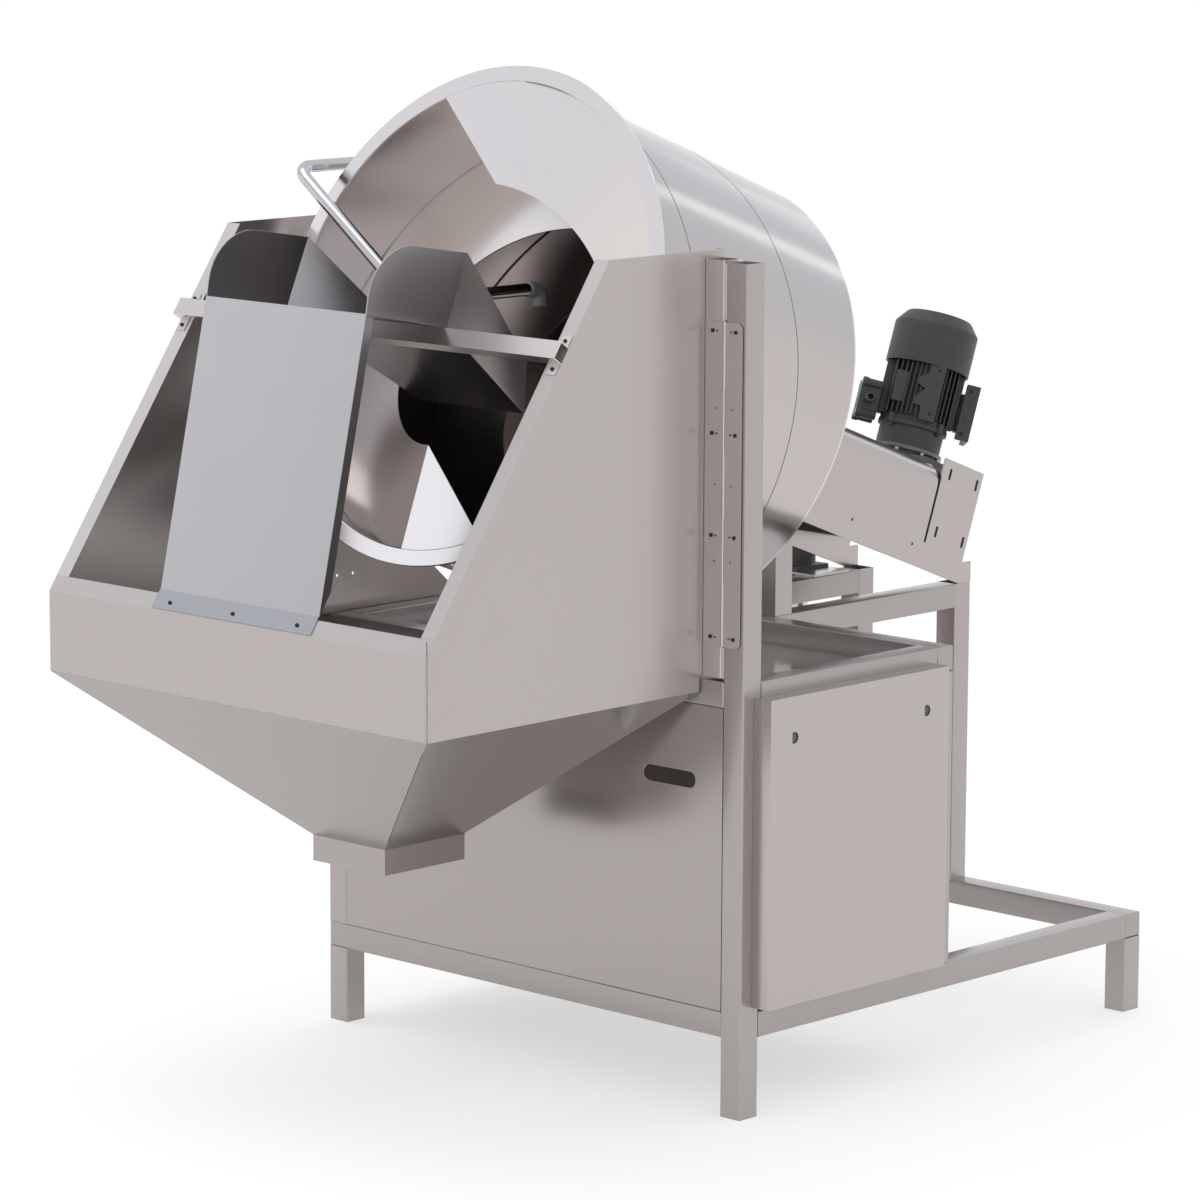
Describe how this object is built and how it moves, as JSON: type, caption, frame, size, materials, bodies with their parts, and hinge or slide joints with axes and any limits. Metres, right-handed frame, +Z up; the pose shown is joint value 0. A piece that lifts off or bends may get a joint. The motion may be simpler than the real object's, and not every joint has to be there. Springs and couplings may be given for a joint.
{
  "type": "meat salting machine",
  "caption": "Tilted salting drum with helical flights on a square tube frame, a swing-open hood with hopper and loading chute, a geared motor and a brine feed.",
  "frame": {"origin": "on the floor, under the middle of the machine's box", "axes": "+Z up, +X to the right when looking at the hood, +Y from the hood to the drive motor"},
  "size_m": [1.4034, 2.5004, 2.3277],
  "materials": {
    "frame_steel": "brushed stainless tube",
    "sheet_steel": "satin stainless sheet",
    "drum_steel": "bright rolled stainless",
    "polished_steel": "polished",
    "fasteners": "plain",
    "cast_grey": "painted dark grey",
    "motor_black": "matte black paint",
    "nozzle_plastic": "matte"
  },
  "bodies": {
    "frame": {"legs": "frame_steel", "front_right_post": "frame_steel", "base_cross_rails": "frame_steel", "base_side_rails": "frame_steel", "cabinet_uprights": "frame_steel", "cabinet_top_cross_rails": "frame_steel", "cabinet_top_side_rails": "frame_steel", "rear_frame_rails": "frame_steel", "rear_posts": "frame_steel", "short_posts": "frame_steel", "pipe_stand": "frame_steel", "cabinet_front_panel": "sheet_steel", "cabinet_left_panel": "sheet_steel", "cabinet_rear_panel": "sheet_steel", "cabinet_deck": "sheet_steel", "side_cover": "sheet_steel", "side_cover_frame": "sheet_steel", "drive_housing": "sheet_steel", "bearing_plates": "sheet_steel", "tank_tray": "sheet_steel", "tank_lid": "sheet_steel", "pump_bracket": "sheet_steel", "hinge_leaf_post": "sheet_steel", "brine_tank": "drum_steel", "feed_pipe": "polished_steel", "hinge_pin": "polished_steel", "hinge_screws_post": "fasteners", "drive_bolts": "fasteners", "flange_bearings": "cast_grey", "gear_case": "cast_grey", "reducer_neck": "motor_black", "motor_body": "motor_black", "motor_fan_cover": "motor_black", "motor_terminal_box": "motor_black", "motor_foot_plate": "motor_black", "pump_body": "motor_black", "pump_motor": "motor_black", "spray_nozzle": "nozzle_plastic"},
    "drum": {"drum_shell": "drum_steel", "drum_mouth_ring": "drum_steel", "drum_rear_head": "drum_steel", "drum_shaft": "polished_steel", "flight_1": "drum_steel", "flight_2": "drum_steel", "flight_gussets": "drum_steel", "bevel_wheel": "polished_steel"},
    "hood": {"hood_right_plate": "sheet_steel", "hood_left_plate": "sheet_steel", "hood_front_panel": "sheet_steel", "hood_hopper": "sheet_steel", "hood_spout": "sheet_steel", "hood_tube": "frame_steel", "crossbar": "frame_steel", "chute": "sheet_steel", "hinge_leaf_hood": "sheet_steel", "hood_screws": "fasteners"},
    "pinion": {"bevel_pinion": "polished_steel"},
    "rotor": {"motor_rotor": "polished_steel"},
    "pump_wheel": {"pump_rotor": "polished_steel"}
  },
  "joints": [
    {"name": "drum_spin", "type": "hinge", "parent": "frame", "child": "drum", "pos_m": [-0.09365, -0.53247, 1.775], "axis": [0, -0.9368, 0.3499], "continuous": true},
    {"name": "pinion_spin", "type": "hinge", "parent": "frame", "child": "pinion", "pos_m": [-0.09365, 1.00013, 1.2026], "axis": [0, 0.3499, 0.9368], "continuous": true},
    {"name": "rotor_spin", "type": "hinge", "parent": "frame", "child": "rotor", "pos_m": [-0.09365, 1.00013, 1.2026], "axis": [0, 0.3499, 0.9368], "continuous": true},
    {"name": "hood_swing", "type": "hinge", "parent": "frame", "child": "hood", "pos_m": [0.58435, -0.39297, 1.437], "axis": [0, 0, 1], "range_deg": [0, 110]},
    {"name": "pump_spin", "type": "hinge", "parent": "frame", "child": "pump_wheel", "pos_m": [-0.35165, 0.91053, 1.05], "axis": [0, 0, 1], "continuous": true}
  ],
  "couplings": [
    {"joint": "pinion_spin", "follows": "drum_spin", "ratio": 4},
    {"joint": "rotor_spin", "follows": "drum_spin", "ratio": 40}
  ]
}
